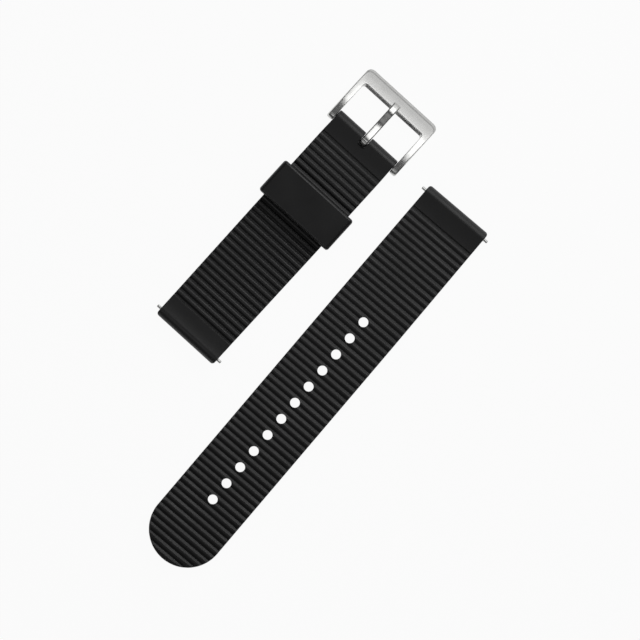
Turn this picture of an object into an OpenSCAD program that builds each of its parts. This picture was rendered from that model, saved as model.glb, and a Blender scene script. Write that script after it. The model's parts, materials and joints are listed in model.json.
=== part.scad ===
// Polyurethane watch strap in two halves, with a pin buckle, a loose keeper and three spring bars.
// Millimetres. The floor is z = 0. The origin is under the middle of the hole half's lug bar.
// +X runs along the buckle half towards its buckle, +Y across it, +Z up.

/* [Strap halves] */
// Width of the moulded strap, which is also the gap between the watch's lugs
strap_w = 22; // [20:0.5:24]
// Length of the half with the holes, from its lug end to its round tip
hole_half_len = 130; // [120:2:140]
// Length of the half with the buckle, from its lug end to its buckle end
buckle_half_len = 78; // [72:2:88]
// Radius of the full round at the lug ends and at the buckle end, half of their thickness
nose_r = 2; // [1.9:0.05:2.2]
// How much narrower than the strap each side of a lug end is
lug_side_gap = 0.2; // [0.1:0.05:0.3]
// Distance from a lug end over which the strap grows to its full width
taper_len = 42; // [30:1:50]
// Corner radius of the lug ends, seen from above
lug_corner_r = 0.9; // [0.5:0.1:1.2]

/* [Pads and ribs] */
// Length of the smooth pad at a lug end and at the buckle end
pad_len = 7.5; // [7:0.25:8.5]
// Height of a pad where the ribs begin
pad_h = 3.3; // [3.1:0.05:3.5]
// Distance from one rib to the next
rib_pitch = 2; // [1.9:0.05:2.2]
// Radius of a rib's rounded back, between its two sloping sides
rib_back_r = 0.45; // [0.35:0.05:0.55]
// Radius of the round at the bottom of a groove
groove_r = 0.1; // [0.05:0.05:0.2]
// Height of the ribs' backs over the underside
rib_top = 3.2; // [3.1:0.05:3.3]
// Height of the grooves between the ribs over the underside
groove_z = 2.8; // [2.65:0.05:2.85]
// Distance from the edge of a pad to the middle of the first rib
first_rib_gap = 1.5; // [1.4:0.05:1.7]

/* [Holes] */
// Diameter of the holes for the tongue
hole_d = 2.8; // [2.6:0.1:3.2]
// Distance from one hole to the next
hole_pitch = 6; // [5:0.5:7]
// Number of holes
hole_count = 12; // [5:1:12]
// Distance from the tip to the nearest hole
hole_to_tip = 22; // [18:1:26]

/* [Keeper] */
// Length of the keeper along the strap
keeper_len = 11; // [8:0.5:13]
// Thickness of the keeper's floor, which lies under the strap
keeper_floor = 1.3; // [1.1:0.1:1.5]
// Thickness of the keeper's roof
keeper_roof = 1.5; // [1.2:0.1:2]
// Thickness of each side wall of the keeper
keeper_side = 1.7; // [1.3:0.1:2]
// Clearance between the keeper and the strap, below and at each side
keeper_gap = 0.3; // [0.25:0.05:0.4]
// Number of strap layers that the keeper holds
keeper_layers = 2; // [2:1:3]
// Distance from the lug end to the keeper
keeper_from_lug = 45.6; // [44:0.2:47]
// Radius of the keeper's outer edges
keeper_edge_r = 1.2; // [0.8:0.1:1.5]

/* [Buckle frame] */
// Width of each arm of the frame
arm_w = 2; // [1.7:0.1:2.4]
// Thickness of the frame's steel at the top of its hollow
frame_t = 1.9; // [1.7:0.05:2]
// Distance from the buckle bar's axis to the outer end of the frame
frame_reach = 17; // [16.5:0.25:18]
// Distance from the buckle bar's axis to the inner edge of the outer bar
window_reach = 12.4; // [12:0.1:12.8]
// Width and height of the slope inside the outer bar
window_slope = 0.9; // [0.7:0.05:1]
// Radius of the arch of the frame's upper face, which runs straight off the eyes
arch_r = 28.8; // [28:0.2:30]
// Distance from the buckle bar's axis to the top of the arch
arch_top = 1.4; // [1:0.1:1.8]
// Radius of the hollow under the frame
belly_r = 17; // [16.5:0.25:17.5]
// Distance from the buckle bar's axis to the top of the hollow
belly_top = 5.5; // [5.25:0.25:6]
// Distance from the buckle bar's axis to the edge that the frame rests on
foot_reach = 15.7; // [15.5:0.1:16]
// Radius of the eyes at the ends of the arms
frame_eye_r = 1.95; // [1.7:0.05:2.1]
// Radius of the frame's outer corners, seen from above
frame_corner_r = 1.9; // [1:0.1:2.5]
// Depth of the blind holes that hold the buckle bar's tips
eye_hole_depth = 1.3; // [1.2:0.05:1.4]

/* [Tongue] */
// Width of the tongue
tongue_w = 2.2; // [1.8:0.1:2.3]
// Thickness of the tongue
tongue_t = 1; // [0.8:0.05:1.1]
// Wall of the tongue's eye round the buckle bar
tongue_eye_wall = 0.55; // [0.45:0.05:0.6]
// Distance from the buckle bar's axis to the tongue's tip
tongue_reach = 14; // [13.5:0.1:14.6]
// Width of the slot in the buckle end
slot_w = 2.4; // [2.35:0.05:2.6]
// Distance from the buckle bar's axis to the closed end of the slot
slot_back = 2.45; // [2.4:0.05:2.6]

/* [Spring bars] */
// Diameter of a spring bar's tube
bar_d = 1.8; // [1.7:0.05:1.85]
// Wall of the tube
bar_wall = 0.25; // [0.2:0.05:0.25]
// Diameter of the pivot at each tip
pivot_d = 0.9; // [0.8:0.05:0.95]
// How far a pivot stands out past the strap's full width
pivot_reach = 1.1; // [1:0.05:1.2]
// How far a tip can be pushed in
tip_travel = 1.1; // [1:0.05:1.1]
// Diameter of the flange behind the pivot
flange_d = 1.4; // [1.2:0.05:1.5]
// Length of the flange
flange_len = 0.6; // [0.4:0.05:0.7]
// Radial running clearance of every pin in its hole
running_gap = 0.05; // [0.03:0.01:0.06]
// Length of the plunger's head, inside the tube
head_len = 4.2; // [3.6:0.1:4.4]
// Diameter of the coil spring's wire
wire_d = 0.2; // [0.16:0.02:0.22]
// Number of turns of the coil spring
coil_turns = 12; // [8:1:12]

/* [Layout] */
// Angle between the two halves as they lie
halves_angle = 1.95; // [0:0.05:4]
// Position of the buckle half's lug bar along X
buckle_half_x = -75.7; // [-90:0.1:-60]
// Position of the buckle half's middle line along Y
buckle_half_y = 32.95; // [32:0.05:40]

/* [Hidden] */

// Shared values
$fn = 48;
rubber = [0.13, 0.13, 0.135];
steel = [0.78, 0.78, 0.77];
spring_steel = [0.6, 0.6, 0.62];
// Spare depth that a cut runs past the faces it opens
spare = 1;

// Strap values
lug_end_w = strap_w - 2 * lug_side_gap;
// The buckle end is narrower, to turn freely between the frame's arms
arm_gap = 0.12;
buckle_end_w = strap_w - 2 * arm_gap;
first_rib = pad_len + first_rib_gap;
// A rib's straight sides touch the round of its back and of the grooves, and lean by this angle
rib_rounds = rib_back_r + groove_r;
rib_spare = rib_rounds - (rib_top - groove_z);
rib_lean = asin(rib_rounds / norm([rib_pitch / 2, rib_spare])) - atan2(rib_spare, rib_pitch / 2);
hole_half_ribs = floor((hole_half_len - first_rib) / rib_pitch + 0.01) + 1;
buckle_half_ribs = floor((buckle_half_len - 2 * first_rib) / rib_pitch + 0.01) + 1;

// Heights over the floor
underside_z = keeper_floor + keeper_gap;
bar_z = underside_z + nose_r;
bar_bore_r = bar_d / 2 + running_gap;
// Gap between the tongue's eye and its seat in the slot, and where the seat ends
slot_foot_gap = 0.12;
slot_seat = 0.75;

// The buckle bar's axis, from the buckle half's lug bar
buckle_bar_x = buckle_half_len - 2 * nose_r;

// Keeper values
keeper_inner_w = strap_w + 2 * keeper_gap;
keeper_w = keeper_inner_w + 2 * keeper_side;
keeper_inner_h = keeper_layers * rib_top + keeper_gap;
keeper_h = keeper_floor + keeper_inner_h + keeper_roof;
keeper_inner_edge_r = 0.5;
keeper_x = keeper_from_lug - nose_r;

// Frame values, with the buckle bar's axis at x = 0 and z = 0
frame_inner_w = strap_w;
frame_w = frame_inner_w + 2 * arm_w;
arch_z = sqrt(pow(arch_r - frame_eye_r, 2) - arch_top * arch_top);
belly_z = belly_r + frame_t - frame_top_z(belly_top);
// The frame's lowest edge, and the angle at which it comes to lie on the floor
low_z = frame_low_z(foot_reach);
floor_gap = 0.02;
frame_lay = asin((bar_z - floor_gap) / norm([foot_reach, low_z])) - atan2(-low_z, foot_reach);

// Tongue values, with the buckle bar's axis at x = 0 and z = 0
tongue_eye_r = bar_bore_r + tongue_eye_wall;
// Where the tongue's back starts, dips and is highest
tongue_root_x = 0.3;
tongue_dip_x = 6.2;
tongue_dip_z = 0.45;
tongue_crest_x = window_reach - 1.7;
// Rest clearance between the tongue and the outer bar
tongue_rest_gap = 0.1;
tongue_crest_z = frame_top_z(window_reach) + tongue_rest_gap + tongue_t + 0.45;
tongue_tip_z = frame_top_z(tongue_reach) + tongue_rest_gap + tongue_t;

// Spring bar values, with the middle of the bar at y = 0
pivot_end = strap_w / 2 + pivot_reach;
flange_out = strap_w / 2 - 0.1;
flange_in = flange_out - flange_len;
tube_end = flange_in - tip_travel - 0.1;
lip_len = 0.3;
lip_in = tube_end - lip_len;
head_end = lip_in - 0.05;
head_start = head_end - head_len;
pivot_r = pivot_d / 2;
pivot_chamfer = 0.12;
tube_inner_r = bar_d / 2 - bar_wall;
head_r = tube_inner_r - running_gap - 0.02;
coil_len = 2 * head_start - 0.1;
coil_r = head_r - wire_d / 2 - 0.07;
coil_rings = 8;
coil_sides = 6;

// Heights of the frame's upper face and of its hollow at a distance from the buckle bar's axis
function frame_top_z(x) = sqrt(arch_r * arch_r - pow(x - arch_top, 2)) - arch_z;
function frame_low_z(x) = sqrt(belly_r * belly_r - pow(x - belly_top, 2)) - belly_z;
// Smooth step from 0 to 1
function ease(t) = (1 - cos(180 * t)) / 2;
// Height of the tongue's back at a distance from the buckle bar's axis
function tongue_back(x) =
    x < tongue_dip_x ?
        tongue_eye_r + (tongue_dip_z - tongue_eye_r)
            * ease((x - tongue_root_x) / (tongue_dip_x - tongue_root_x))
    : x < tongue_crest_x ?
        tongue_dip_z + (tongue_crest_z - tongue_dip_z)
            * ease((x - tongue_dip_x) / (tongue_crest_x - tongue_dip_x))
    : tongue_crest_z + (tongue_tip_z - tongue_crest_z)
            * pow((x - tongue_crest_x) / (tongue_reach - tongue_crest_x), 1.5);
// Points of an arc, both ends included
function arc(cx, cy, r, from, to, steps) =
    [for (i = [0:steps]) let (a = from + (to - from) * i / steps) [cx + r * cos(a), cy + r * sin(a)]];
// The same points in the other order
function backwards(points) = [for (i = [len(points) - 1:-1:0]) points[i]];

// Places a half's or a bar's own frame
module at_hole_half() rotate([0, 0, 180 + halves_angle]) children();
module at_buckle_half() translate([buckle_half_x, buckle_half_y, 0]) children();
module at_hole_lug_bar() at_hole_half() translate([0, 0, nose_r]) children();
module at_buckle_lug_bar() at_buckle_half() translate([0, 0, bar_z]) children();
module at_buckle_bar() at_buckle_half() translate([buckle_bar_x, 0, bar_z]) children();
module at_frame() at_buckle_bar() rotate([0, frame_lay, 0]) children();
// Stands a side view, drawn in x and z, across a width
module across(width) translate([0, width / 2, 0]) rotate([90, 0, 0]) linear_extrude(width) children();
// A cylinder along Y
module y_cylinder(r, length) rotate([90, 0, 0]) cylinder(r = r, h = length, center = true);

// Side view of an end, a full round that falls in a hollow curve to the pad's height;
// facing is 1 where the pad lies on the +X side of the round, and -1 where it lies on the other
module pad_side(facing) {
    run = pad_len - nose_r;
    rise = pad_h - nose_r;
    hollow_r = (run * run + rise * rise - nose_r * nose_r) / (2 * (nose_r - rise));
    // The round and the hollow touch where both lean by this angle
    lean = asin(run / (nose_r + hollow_r));
    round_end = arc(0, 0, nose_r, 90 - lean, 270, 14);
    side = concat([[run, -nose_r]], arc(run, rise + hollow_r, hollow_r, -90, -90 - lean, 8),
        [for (i = [1:len(round_end) - 1]) round_end[i]]);
    polygon(facing > 0 ? side : [for (p = backwards(side)) [-p[0], p[1]]]);
}

// Points of the round of a rib's back, with the rib's middle at x
function rib_back(x) =
    arc(x, rib_top - rib_back_r - nose_r, rib_back_r, 90 + rib_lean, 90 - rib_lean, 6);
// Points of the round at the bottom of a groove, from one lean to another
function groove(x, from, to) = arc(x, groove_z + groove_r - nose_r, groove_r, 270 + from, 270 + to, 2);

// Side view of the ribs on their base, from the lug bar's axis
module rib_side(ribs, length) {
    start = pad_len - nose_r - spare;
    first_x = first_rib - nose_r;
    last_x = first_x + (ribs - 1) * rib_pitch;
    top = concat([[start, groove_z - nose_r]], groove(first_x - rib_pitch / 2, 0, rib_lean),
        [for (i = [0:ribs - 2]) let (x = first_x + i * rib_pitch)
            each concat(rib_back(x), groove(x + rib_pitch / 2, -rib_lean, rib_lean))],
        rib_back(last_x), groove(last_x + rib_pitch / 2, -rib_lean, 0), [[start + length, groove_z - nose_r]]);
    polygon(concat([[start, -nose_r], [start + length, -nose_r]], backwards(top)));
}

// A plan with one side given, a list of points from end to end, and the same side across from it
function both_sides(side) = concat([for (p = side) [p[0], -p[1]]], backwards(side));

// One side of a lug end's plan, from the end past the round corner to the full width
function lug_end_plan() = let (r = lug_corner_r, half = lug_end_w / 2)
    concat([[-nose_r - spare, half - r]], arc(r - nose_r, half - r, r, 180, 90, 4),
        [[taper_len - nose_r, strap_w / 2]]);

// Side view stood up to a width that the plan then cuts to shape
module cut_to_plan(points) intersection() {
    across(strap_w + 2 * spare) children();
    translate([0, 0, -nose_r - spare]) linear_extrude(2 * nose_r + 2 * spare) polygon(points);
}

// The half with the holes, from its lug bar's axis along +X
module hole_half_body() {
    tip_r = strap_w / 2;
    tip_side = arc(hole_half_len - tip_r - nose_r, 0, tip_r, 90, 0, 24);
    difference() {
        cut_to_plan(both_sides(concat(lug_end_plan(), tip_side))) {
            pad_side(1);
            rib_side(hole_half_ribs, hole_half_len - pad_len + spare);
        }
        y_cylinder(bar_bore_r, strap_w + 2 * spare);
        for (i = [0:hole_count - 1])
            translate([hole_half_len - hole_to_tip - i * hole_pitch - nose_r, 0, 0])
                cylinder(d = hole_d, h = 3 * nose_r, center = true);
    }
}

// The half with the buckle, from its lug bar's axis along +X
module buckle_half_body() {
    ribs_end = buckle_half_len - pad_len - nose_r;
    narrow_x = buckle_bar_x - frame_eye_r - 0.5;
    end_side = [[ribs_end, strap_w / 2], [narrow_x, buckle_end_w / 2],
        [buckle_half_len - nose_r + spare, buckle_end_w / 2]];
    difference() {
        cut_to_plan(both_sides(concat(lug_end_plan(), end_side))) {
            pad_side(1);
            translate([buckle_bar_x, 0]) pad_side(-1);
            rib_side(buckle_half_ribs, ribs_end - pad_len + nose_r + 2 * spare);
        }
        y_cylinder(bar_bore_r, strap_w + 2 * spare);
        translate([buckle_bar_x, 0, 0]) {
            y_cylinder(bar_bore_r, strap_w + 2 * spare);
            tongue_slot();
        }
    }
}

// The slot for the tongue, open at the strap's end; its closed end slopes down to the tongue's
// eye and goes on under it as a round seat, so that nothing shows through
module tongue_slot() difference() {
    translate([0, 0, -nose_r - spare]) linear_extrude(2 * nose_r + 2 * spare) {
        translate([slot_w / 2 - slot_back, 0]) circle(d = slot_w);
        translate([slot_w / 2 - slot_back, -slot_w / 2]) square([slot_back + nose_r + spare, slot_w]);
    }
    seat_r = tongue_eye_r + slot_foot_gap;
    seat = arc(0, 0, seat_r, 180 + acos(slot_seat / seat_r), 180, 8);
    across(slot_w + 2 * spare) polygon(concat(
        [[-slot_back - spare, -nose_r - 2 * spare], [-slot_seat, -nose_r - 2 * spare]], seat,
        [[-slot_back, nose_r], [-slot_back - spare, nose_r]]));
}

// A rectangle with round corners, from a lower corner at y = -w / 2 and z = 0
module round_rect(w, h, r) {
    translate([r - w / 2, 0]) square([w - 2 * r, h]);
    translate([-w / 2, r]) square([w, h - 2 * r]);
    for (x = [r - w / 2, w / 2 - r], y = [r, h - r]) translate([x, y]) circle(r = r);
}

// The loose keeper, with its walls round two layers of strap
module keeper_body() translate([keeper_x, 0, 0]) rotate([90, 0, 90]) linear_extrude(keeper_len)
    difference() {
        round_rect(keeper_w, keeper_h, keeper_edge_r);
        translate([0, keeper_floor]) round_rect(keeper_inner_w, keeper_inner_h, keeper_inner_edge_r);
    }

// Side view of the frame between its upper face and its hollow, from the bar's axis to its end
module frame_side() intersection() {
    difference() {
        translate([arch_top, -arch_z]) circle(r = arch_r, $fn = 240);
        translate([belly_top, -belly_z]) circle(r = belly_r, $fn = 180);
    }
    end = [frame_reach, frame_top_z(frame_reach)];
    foot = [foot_reach, low_z];
    polygon([[0, 2 * frame_eye_r], [2 * end[0] - foot[0], 2 * frame_eye_r], 2 * end - foot, 2 * foot - end,
        [0, low_z]]);
}

// Side view of the outer bar, with its slope towards the window
module bar_side() intersection() {
    frame_side();
    top = [window_reach, frame_top_z(window_reach)];
    low = top - [window_slope, window_slope];
    polygon([[top[0], 2 * frame_eye_r], top, low, [low[0], 2 * low_z], [frame_reach + spare, 2 * low_z],
        [frame_reach + spare, 2 * frame_eye_r]]);
}

// One side of the frame's plan, which rounds its outer corner
function frame_plan() = let (r = frame_corner_r, half = frame_w / 2)
    concat([[-2 * frame_eye_r, half]], arc(frame_reach - r, half - r, r, 90, 0, 6),
        [[frame_reach + spare, half - r]]);

// The buckle's frame: two arms with round eyes, and the wide outer bar
module frame_body() difference() {
    intersection() {
        union() {
            across(frame_w) bar_side();
            for (side = [-1, 1]) translate([0, side * (frame_w - arm_w) / 2, 0]) across(arm_w) {
                frame_side();
                circle(r = frame_eye_r);
            }
        }
        translate([0, 0, -3 * frame_eye_r]) linear_extrude(6 * frame_eye_r)
            polygon(both_sides(frame_plan()));
    }
    y_cylinder(pivot_r + running_gap, frame_inner_w + 2 * eye_hole_depth);
}

// The tongue: an eye round the buckle bar, and a back that dips and then rises over the outer bar
module tongue_body() {
    steps = 28;
    from = tongue_root_x;
    back = [for (i = [0:steps]) let (x = from + (tongue_reach - from) * i / steps) [x, tongue_back(x)]];
    difference() {
        across(tongue_w) {
            circle(r = tongue_eye_r);
            polygon(concat([for (p = back) p - [0, tongue_t]], backwards(back)));
        }
        y_cylinder(bar_bore_r, tongue_w + 2 * spare);
    }
}

// Turns a profile of radius and length round the bar's axis, +Y
module y_turned() rotate([-90, 0, 0]) rotate_extrude() children();

// A spring bar's tube, with its ends rolled in over the plungers
module bar_tube() color(steel) y_turned() {
    r = bar_d / 2;
    lip_r = pivot_r + running_gap;
    polygon([[tube_inner_r, -lip_in], [lip_r, -lip_in], [lip_r, -tube_end], [r - 0.1, -tube_end],
        [r, 0.1 - tube_end], [r, tube_end - 0.1], [r - 0.1, tube_end], [lip_r, tube_end],
        [lip_r, lip_in], [tube_inner_r, lip_in]]);
}

// A plunger with its head in the tube, its flange and its pivot; side is 1 for left, -1 for right
module bar_tip(side) color(steel) rotate([0, 0, side > 0 ? 0 : 180]) y_turned()
    polygon([[0, head_start], [head_r, head_start], [head_r, head_end], [pivot_r, head_end],
        [pivot_r, flange_in], [flange_d / 2, flange_in], [flange_d / 2, flange_out],
        [pivot_r, flange_out], [pivot_r, pivot_end - pivot_chamfer],
        [pivot_r - pivot_chamfer, pivot_end], [0, pivot_end]]);

// The coil spring between the two plungers, one unbroken wire
module bar_spring() color(spring_steel) {
    rings = coil_turns * coil_rings;
    pitch = (coil_len - wire_d) / coil_turns;
    slope = atan(pitch / (2 * PI * coil_r));
    points = [for (i = [0:rings], k = [0:coil_sides - 1])
        let (a = 360 * i / coil_rings, b = 360 * k / coil_sides, w = wire_d / 2)
        let (out = coil_r + w * cos(b), up = w * sin(b))
        [out * cos(a) - up * sin(slope) * -sin(a),
            pitch * i / coil_rings - (coil_len - wire_d) / 2 + up * cos(slope),
            out * sin(a) - up * sin(slope) * cos(a)]];
    last = rings * coil_sides;
    walls = [for (i = [0:rings - 1], k = [0:coil_sides - 1])
        let (a = i * coil_sides + k, b = i * coil_sides + (k + 1) % coil_sides)
        each [[a, a + coil_sides, b], [b, a + coil_sides, b + coil_sides]]];
    caps = [for (k = [1:coil_sides - 2]) each [[0, k, k + 1], [last, last + k + 1, last + k]]];
    echo(str("least gap between turns of a coil spring: ", pitch * cos(slope) - wire_d, " mm"));
    polyhedron(points, concat(walls, caps));
}

module hole_strap() color(rubber) at_hole_lug_bar() hole_half_body();
module buckle_strap() color(rubber) at_buckle_lug_bar() buckle_half_body();
module keeper() color(rubber) at_buckle_half() keeper_body();
module buckle_frame() color(steel) at_frame() frame_body();
module buckle_tongue() color(steel) at_frame() tongue_body();
module buckle_bar_tube() at_buckle_bar() bar_tube();
module buckle_bar_spring() at_buckle_bar() bar_spring();
module buckle_bar_tip_left() at_buckle_bar() bar_tip(1);
module buckle_bar_tip_right() at_buckle_bar() bar_tip(-1);
module buckle_lug_bar_tube() at_buckle_lug_bar() bar_tube();
module buckle_lug_bar_spring() at_buckle_lug_bar() bar_spring();
module buckle_lug_bar_tip_left() at_buckle_lug_bar() bar_tip(1);
module buckle_lug_bar_tip_right() at_buckle_lug_bar() bar_tip(-1);
module hole_lug_bar_tube() at_hole_lug_bar() bar_tube();
module hole_lug_bar_spring() at_hole_lug_bar() bar_spring();
module hole_lug_bar_tip_left() at_hole_lug_bar() bar_tip(-1);
module hole_lug_bar_tip_right() at_hole_lug_bar() bar_tip(1);

hole_strap();
buckle_strap();
keeper();
buckle_frame();
buckle_tongue();
buckle_bar_tube();
buckle_bar_spring();
buckle_bar_tip_left();
buckle_bar_tip_right();
buckle_lug_bar_tube();
buckle_lug_bar_spring();
buckle_lug_bar_tip_left();
buckle_lug_bar_tip_right();
hole_lug_bar_tube();
hole_lug_bar_spring();
hole_lug_bar_tip_left();
hole_lug_bar_tip_right();
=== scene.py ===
# %% [markdown]
# A ribbed watch strap in two halves, with a keeper, a pin buckle and three spring bars.
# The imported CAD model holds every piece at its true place. This script dresses it: each moulded or
# formed piece is modelled again with its soft edges, and every surface gets a finish.
# Nothing here moves a CAD piece, so what is modelled always stands where its solid stands.

# %% Load the frame
import json
import math

import bmesh
import bpy
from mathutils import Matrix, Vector


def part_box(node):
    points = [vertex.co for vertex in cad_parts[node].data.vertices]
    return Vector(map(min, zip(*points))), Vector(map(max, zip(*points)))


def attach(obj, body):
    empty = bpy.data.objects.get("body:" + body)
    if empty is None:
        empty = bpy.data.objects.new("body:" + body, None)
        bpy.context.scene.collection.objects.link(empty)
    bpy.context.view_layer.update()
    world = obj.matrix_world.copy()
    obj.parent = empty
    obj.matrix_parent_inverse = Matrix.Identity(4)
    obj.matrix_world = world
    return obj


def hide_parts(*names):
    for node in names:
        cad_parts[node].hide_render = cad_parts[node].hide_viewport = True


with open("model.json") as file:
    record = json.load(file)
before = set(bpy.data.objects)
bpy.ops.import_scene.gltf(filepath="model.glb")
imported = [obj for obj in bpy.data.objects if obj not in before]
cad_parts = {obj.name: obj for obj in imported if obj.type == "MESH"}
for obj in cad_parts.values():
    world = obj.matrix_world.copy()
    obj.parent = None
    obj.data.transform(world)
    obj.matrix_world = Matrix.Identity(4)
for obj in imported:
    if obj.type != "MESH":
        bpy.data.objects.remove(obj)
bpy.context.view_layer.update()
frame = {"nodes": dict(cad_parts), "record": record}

# %% [markdown]
# Blender counts in metres and a strap is easier to think of in millimetres. So each piece is modelled
# in millimetres round an origin of its own, lying along X, and is scaled and set down in the frame at
# the very end. The places come from the CAD nodes and from the record's joints.

# %% Units and places
MM = 0.001

joints = {joint["name"]: joint for joint in frame["record"]["behaviour"]["joints"]}
hole_lug_axis = Vector(joints["hole_lug_bar_spin"]["pos_m"])
buckle_lug_axis = Vector(joints["buckle_lug_bar_spin"]["pos_m"])
buckle_axis = Vector(joints["frame_hinge"]["pos_m"])
across_hole_half = Vector(joints["hole_lug_bar_spin"]["axis"])
hole_half_turn = math.pi - math.atan2(across_hole_half.x, across_hole_half.y)
print("the hole half lies turned by", round(math.degrees(hole_half_turn), 2), "degrees")

# %% [markdown]
# First the camera, because everything else is judged through it. The photograph was taken from
# straight above with a long lens, so that parallel edges stay parallel. A real lens far away does the
# same here. Its width is worked out from the scale of the photograph, 3.52 pixels to the millimetre.

# %% Camera
picture_px = 640
px_per_mm = 3.52
picture_middle = (-47.81, 8.18)
picture_turn = -47.67
camera_height = 2.0
camera_sees_to = 50
sensor_mm = 36.0

bpy.ops.object.camera_add(
    location=(picture_middle[0] * MM, picture_middle[1] * MM, camera_height),
    rotation=(0, 0, math.radians(picture_turn)),
)
camera = bpy.context.object
camera.data.sensor_width = sensor_mm
camera.data.lens = sensor_mm * camera_height / (picture_px / px_per_mm * MM)
camera.data.clip_end = camera_sees_to
bpy.context.scene.camera = camera
print("lens of", round(camera.data.lens), "mm at", camera_height, "m")

# %% [markdown]
# A few small helpers follow. In edit mode an operator works on whatever is selected, so the first
# thing is to select with care: one object at a time, and then the edges that pass a test of their
# place or of the faces beside them.

# %% Selecting
def only(piece):
    """Makes one object the selected and active one."""
    bpy.ops.object.select_all(action="DESELECT")
    piece.select_set(True)
    bpy.context.view_layer.objects.active = piece


def edit(piece):
    """Goes into edit mode with points as what is selected."""
    only(piece)
    bpy.ops.object.mode_set(mode="EDIT")
    bpy.ops.mesh.select_mode(type="VERT")


def done():
    """Leaves edit mode."""
    bpy.ops.object.mode_set(mode="OBJECT")


def pick_edges(piece, test):
    """In edit mode, selects the edges that pass a test, and returns how many there are."""
    bpy.ops.mesh.select_mode(type="EDGE")
    bpy.ops.mesh.select_all(action="DESELECT")
    mesh = bmesh.from_edit_mesh(piece.data)
    found = [edge for edge in mesh.edges if test(edge)]
    for edge in found:
        edge.select_set(True)
    bmesh.update_edit_mesh(piece.data)
    return len(found)


# %% [markdown]
# A strap is drawn from the side first, as its mould is. One vertex is extruded from point to point,
# which leaves a chain of edges. A curve object could draw the same line, but a chain of edges is
# already a mesh, and each of its points is exactly where it was put.

# %% Drawing a line
merge_mm = 1e-3


def arc(cx, cy, radius, start, end, steps):
    """Points of an arc, both ends included, with its angles in degrees."""
    angles = [math.radians(start + (end - start) * i / steps) for i in range(steps + 1)]
    return [(cx + radius * math.cos(a), cy + radius * math.sin(a)) for a in angles]


def from_side(points):
    """Points drawn from the side, as places in space."""
    return [(x, 0.0, z) for x, z in points]


def draw_chain(name, points):
    """A chain of edges through the points, made by extruding one vertex again and again."""
    bpy.ops.object.select_all(action="DESELECT")
    bpy.ops.mesh.primitive_plane_add(size=1, location=(0, 0, 0))
    piece = bpy.context.object
    piece.name = name
    edit(piece)
    bpy.ops.mesh.select_all(action="SELECT")
    bpy.ops.mesh.merge(type="CENTER")
    bpy.ops.transform.translate(value=points[0])
    for start, end in zip(points, points[1:]):
        step = [b - a for a, b in zip(start, end)]
        bpy.ops.mesh.extrude_vertices_move(TRANSFORM_OT_translate={"value": step})
    bpy.ops.mesh.select_all(action="SELECT")
    bpy.ops.mesh.remove_doubles(threshold=merge_mm)
    done()
    return piece


# %% [markdown]
# A chain is then pulled out sideways or upwards. An open chain becomes a sheet that way. A closed
# one is filled with a face first, and becomes a block. Doubled points are merged afterwards and all
# faces turned outwards, because a cut needs a closed mesh that knows its inside.

# %% From a line to a sheet or a block
def tidy_up():
    """In edit mode, merges what coincides and turns every face outwards."""
    bpy.ops.mesh.select_all(action="SELECT")
    bpy.ops.mesh.remove_doubles(threshold=merge_mm)
    bpy.ops.mesh.normals_make_consistent(inside=False)


def move(piece, step):
    """Moves all of a mesh by a step, while its object stays where it is."""
    edit(piece)
    bpy.ops.mesh.select_all(action="SELECT")
    bpy.ops.transform.translate(value=step)
    done()


def pull(piece, step):
    """Extrudes a whole chain along a step."""
    edit(piece)
    bpy.ops.mesh.select_all(action="SELECT")
    bpy.ops.mesh.extrude_region_move(TRANSFORM_OT_translate={"value": step})
    done()


def fill_and_pull(chain, start, step):
    """Fills a closed chain, moves it to where the block starts and pulls it along a step."""
    edit(chain)
    bpy.ops.mesh.select_all(action="SELECT")
    bpy.ops.mesh.edge_face_add()
    bpy.ops.transform.translate(value=start)
    bpy.ops.mesh.extrude_region_move(TRANSFORM_OT_translate={"value": step})
    tidy_up()
    done()
    return chain


def plan_block(name, points, low, high):
    """A closed outline drawn from above and pulled up from one height to another."""
    chain = draw_chain(name, [(x, y, 0.0) for x, y in points + points[:1]])
    return fill_and_pull(chain, (0, 0, low), (0, 0, high - low))


def side_block(name, points, width):
    """A closed outline drawn from the side and pulled across Y, with its middle at Y = 0."""
    chain = draw_chain(name, from_side(points + points[:1]))
    return fill_and_pull(chain, (0, -width / 2, 0), (0, width, 0))


# %% [markdown]
# Cutting and repeating are done with modifiers, which are applied at once. A cut is worked out on
# several threads, and hands back its faces in another order each time. A bevel goes by that order, so
# without a fixed one no two runs would give quite the same piece. A mesh is therefore written out
# again, in the order of its places, round each cut and before each bevel.

# %% Modifiers and a fixed order
sorting_digits = 4


def apply_modifier(piece, kind, **settings):
    """Adds a modifier with its settings and applies it."""
    only(piece)
    bpy.ops.object.modifier_add(type=kind)
    modifier = piece.modifiers[-1]
    for name, value in settings.items():
        setattr(modifier, name, value)
    bpy.ops.object.modifier_apply(modifier=modifier.name)


def repeat(piece, count, step):
    """Repeats a piece in a row, one step from copy to copy, and joins copies where they touch."""
    apply_modifier(
        piece, "ARRAY", count=count, use_relative_offset=False, use_constant_offset=True,
        constant_offset_displace=step, use_merge_vertices=True, merge_threshold=merge_mm,
    )


def put_in_order(piece):
    """Writes a mesh out again with its points and faces in the order of their places."""
    mesh = piece.data
    places = [tuple(vertex.co) for vertex in mesh.vertices]
    rounded = [[round(c, sorting_digits) for c in place] for place in places]
    order = sorted(range(len(places)), key=lambda i: rounded[i])
    rank = {old: new for new, old in enumerate(order)}
    faces = []
    for face in mesh.polygons:
        corners = [rank[i] for i in face.vertices]
        first = corners.index(min(corners))
        faces.append(corners[first:] + corners[:first])
    mesh.clear_geometry()
    mesh.from_pydata([places[i] for i in order], [], sorted(faces))
    mesh.update()


# %% [markdown]
# A bore is cut with a round bar of the same size. A face can't have a hole, so a bore in the middle of
# one is joined to its rim by edges that can fall in more than one way. Where a line is drawn through
# the bore's middle first, the bore leaves only a notch in each of two faces.

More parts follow.
